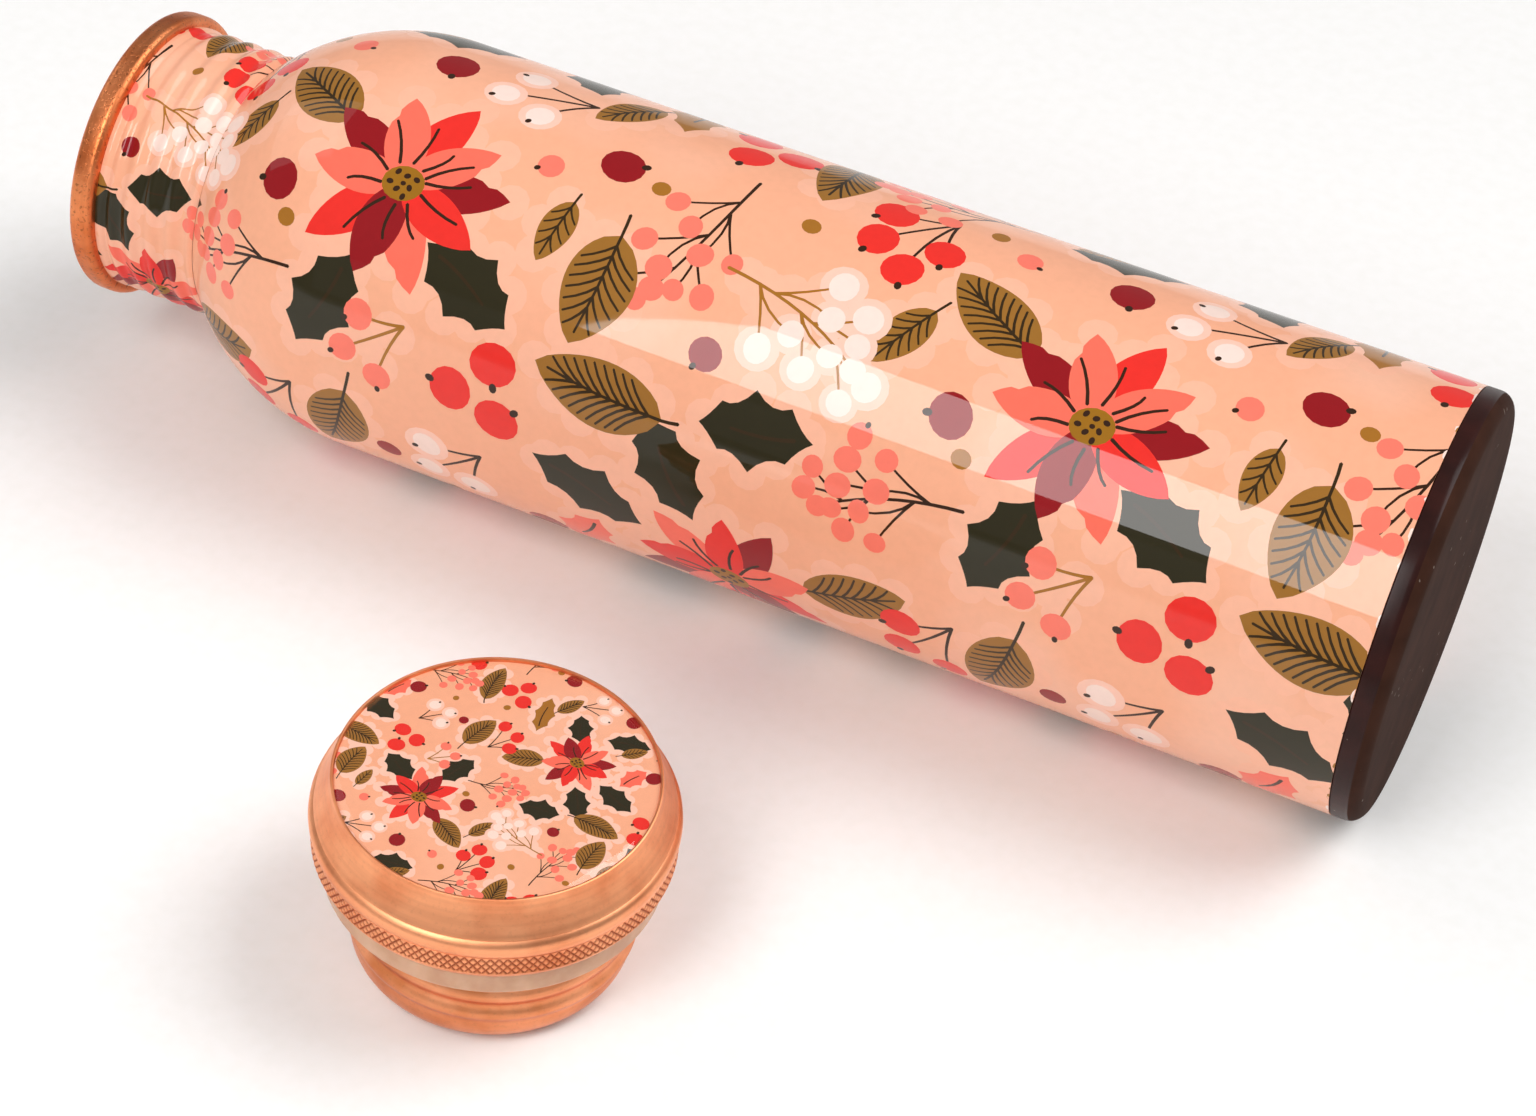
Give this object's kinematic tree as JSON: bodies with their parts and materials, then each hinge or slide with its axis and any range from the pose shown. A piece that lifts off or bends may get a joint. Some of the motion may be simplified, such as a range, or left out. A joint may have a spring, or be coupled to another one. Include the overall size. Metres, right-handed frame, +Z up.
{
  "type": "copper water bottle",
  "caption": "Cylindrical copper water bottle with printed floral skin, domed shoulder, rolled-thread neck, foot pad and a knurled screw cap standing beside it.",
  "frame": {"origin": "on the supporting surface, under the middle of the bottle and cap together", "axes": "+X along the bottle from mouth to foot, +Z up, the cap stands towards -Y"},
  "size_m": [0.246, 0.1733, 0.075],
  "materials": {
    "copper": "satin copper",
    "copper_inside": "plain copper",
    "braze": "brazed fillet",
    "printed_enamel": "floral print under clear enamel",
    "foot": "matte brown pad",
    "clear_resin": "clear domed resin",
    "seal": "translucent silicone"
  },
  "bodies": {
    "bottle": {"body_shell": "copper_inside", "base_plate": "copper_inside", "base_braze": "braze", "neck_collar": "copper_inside", "neck_braze": "braze", "lip_ring": "copper", "body_print": "printed_enamel", "neck_print": "printed_enamel", "foot_pad": "foot"},
    "seal": {"seal_ring": "seal"},
    "cap": {"cap_shell": "copper", "cap_print_disc": "printed_enamel", "cap_resin_dome": "clear_resin", "plug_cup": "copper", "plug_solder": "braze"}
  },
  "joints": [
    {"name": "cap_lift", "type": "slide", "parent": "bottle", "child": "seal", "axis": [0, 0, 1], "range_m": [0, 0.0126]},
    {"name": "cap_turn", "type": "hinge", "parent": "seal", "child": "cap", "pos_m": [0.005, -0.05785, 0], "axis": [0, 0, 1], "range_deg": [0, 1080]}
  ],
  "couplings": [
    {"joint": "cap_lift", "follows": "cap_turn", "m_per_rad": 0.00066845}
  ]
}
